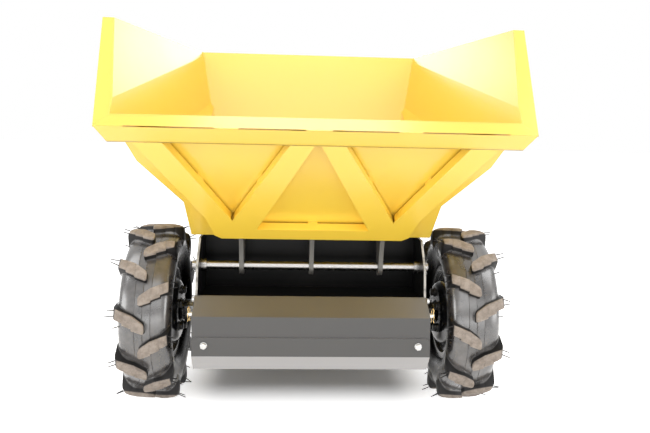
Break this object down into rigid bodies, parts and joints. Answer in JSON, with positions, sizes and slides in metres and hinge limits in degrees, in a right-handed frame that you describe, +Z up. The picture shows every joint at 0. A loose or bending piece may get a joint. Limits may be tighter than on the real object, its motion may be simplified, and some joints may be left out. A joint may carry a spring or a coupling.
{
  "type": "walk-behind wheeled site dumper",
  "caption": "Pedestrian site dumper: a forward-tipping sheet-steel skip with a braced front and pouring lip, on a low chassis with driven wheels, castors, engine and handlebars.",
  "frame": {"origin": "on the floor, under the middle of the machine's overall box", "axes": "+Z up, -Y forward towards the skip's lip, +X to the machine's left"},
  "size_m": [0.8928, 1.6416, 0.903],
  "materials": {
    "skip_paint": "satin yellow paint",
    "chassis_paint": "satin black paint",
    "guard_paint": "satin dark grey paint",
    "bright_steel": "turned bright steel",
    "rim_paint": "gloss black paint",
    "tyre": "dark grey moulded rubber",
    "castor_rubber": "black solid rubber",
    "zinc": "bright zinc plate",
    "rubber": "black rubber",
    "engine_casting": "as cast",
    "engine_cover": "black moulded cover",
    "tank_paint": "grey enamel",
    "muffler_steel": "heat tinted sheet steel"
  },
  "bodies": {
    "chassis": {"chassis_left_plate": "chassis_paint", "chassis_right_plate": "chassis_paint", "front_panel": "chassis_paint", "front_guard": "guard_paint", "guard_cover": "guard_paint", "hinge_bar": "bright_steel", "rest_channel": "chassis_paint", "skip_rests": "rubber", "axle_housing": "chassis_paint", "gearbox": "chassis_paint", "drive_shaft": "bright_steel", "rear_beam": "chassis_paint", "engine_deck": "chassis_paint", "engine_block": "engine_casting", "recoil_starter": "engine_cover", "fuel_tank": "tank_paint", "air_filter": "engine_cover", "muffler": "muffler_steel", "belt_guard": "chassis_paint", "left_handlebar": "chassis_paint", "right_handlebar": "chassis_paint", "handle_grips": "rubber", "handle_console": "chassis_paint", "control_levers": "bright_steel"},
    "skip": {"skip_floor": "skip_paint", "skip_front_wall": "skip_paint", "skip_rear_wall": "skip_paint", "skip_left_side": "skip_paint", "skip_right_side": "skip_paint", "skip_lip": "skip_paint", "skip_mouth_flanges": "skip_paint", "skip_brace_frame": "skip_paint", "skip_hinge_lugs": "bright_steel", "skip_striker": "skip_paint", "skip_grab_handle": "skip_paint"},
    "left_wheel": {"left_wheel_tyre": "tyre", "left_wheel_rim": "rim_paint"},
    "right_wheel": {"right_wheel_tyre": "tyre", "right_wheel_rim": "rim_paint"},
    "left_castor": {"left_castor_fork": "zinc"},
    "right_castor": {"right_castor_fork": "zinc"},
    "left_castor_wheel": {"left_castor_tyre": "castor_rubber", "left_castor_rim": "zinc"},
    "right_castor_wheel": {"right_castor_tyre": "castor_rubber", "right_castor_rim": "zinc"}
  },
  "joints": [
    {"name": "skip_tip", "type": "hinge", "parent": "chassis", "child": "skip", "pos_m": [0, -0.53, 0.332], "axis": [1, 0, 0], "range_deg": [0, 75]},
    {"name": "left_wheel_spin", "type": "hinge", "parent": "chassis", "child": "left_wheel", "pos_m": [0.362, -0.465, 0.2075], "axis": [1, 0, 0], "continuous": true},
    {"name": "right_wheel_spin", "type": "hinge", "parent": "chassis", "child": "right_wheel", "pos_m": [-0.362, -0.465, 0.2075], "axis": [1, 0, 0], "continuous": true},
    {"name": "left_castor_swivel", "type": "hinge", "parent": "chassis", "child": "left_castor", "pos_m": [0.185, 0.42, 0.27], "axis": [0, 0, 1], "continuous": true},
    {"name": "left_castor_spin", "type": "hinge", "parent": "left_castor", "child": "left_castor_wheel", "pos_m": [0.185, 0.465, 0.11], "axis": [1, 0, 0], "continuous": true},
    {"name": "right_castor_swivel", "type": "hinge", "parent": "chassis", "child": "right_castor", "pos_m": [-0.185, 0.42, 0.27], "axis": [0, 0, 1], "continuous": true},
    {"name": "right_castor_spin", "type": "hinge", "parent": "right_castor", "child": "right_castor_wheel", "pos_m": [-0.185, 0.465, 0.11], "axis": [1, 0, 0], "continuous": true}
  ]
}
